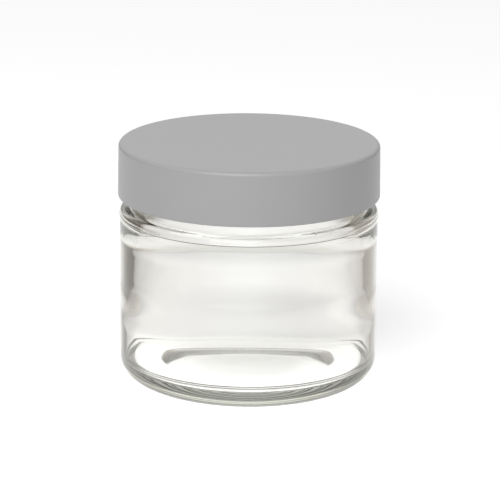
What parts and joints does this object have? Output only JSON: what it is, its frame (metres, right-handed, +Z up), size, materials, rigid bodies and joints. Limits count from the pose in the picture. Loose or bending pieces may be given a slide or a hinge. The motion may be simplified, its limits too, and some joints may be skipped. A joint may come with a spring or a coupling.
{
  "type": "screw-cap glass jar",
  "caption": "Straight-sided clear glass jar with a thick base and a smooth grey plastic screw cap lined with a foam disc.",
  "frame": {"origin": "centre of the jar's bearing ring, on the surface that it stands on", "axes": "+Z up the jar's axis, out of its mouth; +X and +Y are across it, and -Y is the side that the picture shows"},
  "size_m": [0.0556, 0.0556, 0.0511],
  "materials": {
    "clear_glass": "clear flint glass, fire-polished, with a faint green-grey cast where it is thick",
    "cap_plastic": "smooth satin grey polypropylene with a fine moulded texture",
    "liner_foam": "white closed-cell foam",
    "liner_film": "smooth natural film"
  },
  "bodies": {
    "jar": {"glass_jar": "clear_glass"},
    "liner": {"liner_backing": "liner_foam", "liner_facing": "liner_film"},
    "cap": {"screw_cap": "cap_plastic"}
  },
  "joints": [
    {"name": "cap_lift", "type": "slide", "parent": "jar", "child": "liner", "axis": [0, 0, 1], "range_m": [0, 0.0128]},
    {"name": "cap_turn", "type": "hinge", "parent": "liner", "child": "cap", "pos_m": [0, 0, 0.0398], "axis": [0, 0, 1], "range_deg": [0, 1080]}
  ],
  "couplings": [
    {"joint": "cap_lift", "follows": "cap_turn", "m_per_rad": 0.0006737}
  ]
}
